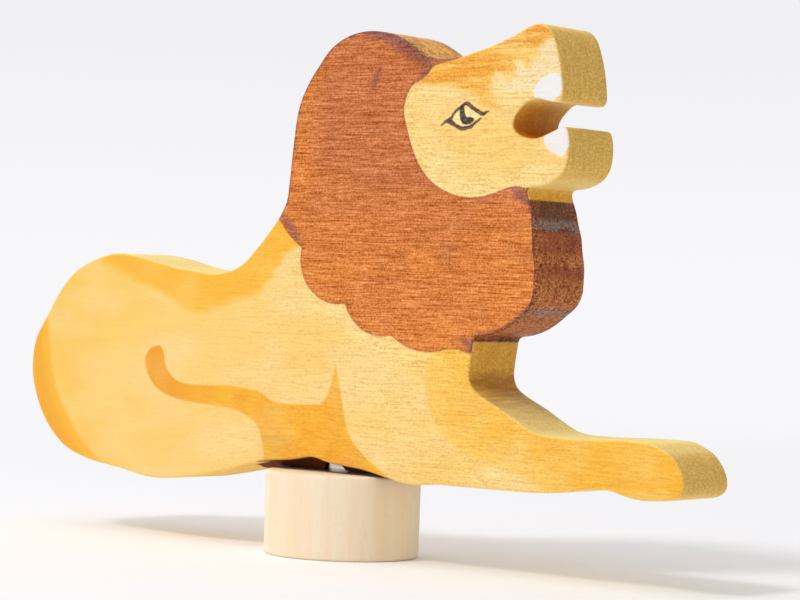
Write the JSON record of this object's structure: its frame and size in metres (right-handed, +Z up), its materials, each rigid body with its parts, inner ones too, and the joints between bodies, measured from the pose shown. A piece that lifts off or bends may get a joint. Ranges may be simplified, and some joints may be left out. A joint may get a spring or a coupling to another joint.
{
  "type": "toy wild animal figure",
  "caption": "Flat sawn and painted wooden lion lying with open mouth and outstretched foreleg, carried above a round wooden base on a steel pin, on which it turns and lifts off.",
  "frame": {"origin": "centre of the round base's bottom face, on the pin's axis", "axes": "+X towards the muzzle and the front paw, -Y out of the broad face that the picture shows, +Z up along the pin"},
  "size_m": [0.1088, 0.02, 0.067],
  "materials": {
    "painted_wood": "thin matt paint, with the grain showing through",
    "bare_wood": "bare, sanded",
    "steel_pin": "polished"
  },
  "bodies": {
    "base": {"wooden_base": "bare_wood"},
    "pin": {"metal_pin": "steel_pin"},
    "figure": {"lion_figure": "painted_wood"}
  },
  "joints": [
    {"name": "lift_off", "type": "slide", "parent": "base", "child": "pin", "axis": [0, 0, 1], "range_m": [0, 0.012]},
    {"name": "turn", "type": "hinge", "parent": "pin", "child": "figure", "pos_m": [0, 0, 0.0126], "axis": [0, 0, 1], "continuous": true}
  ]
}
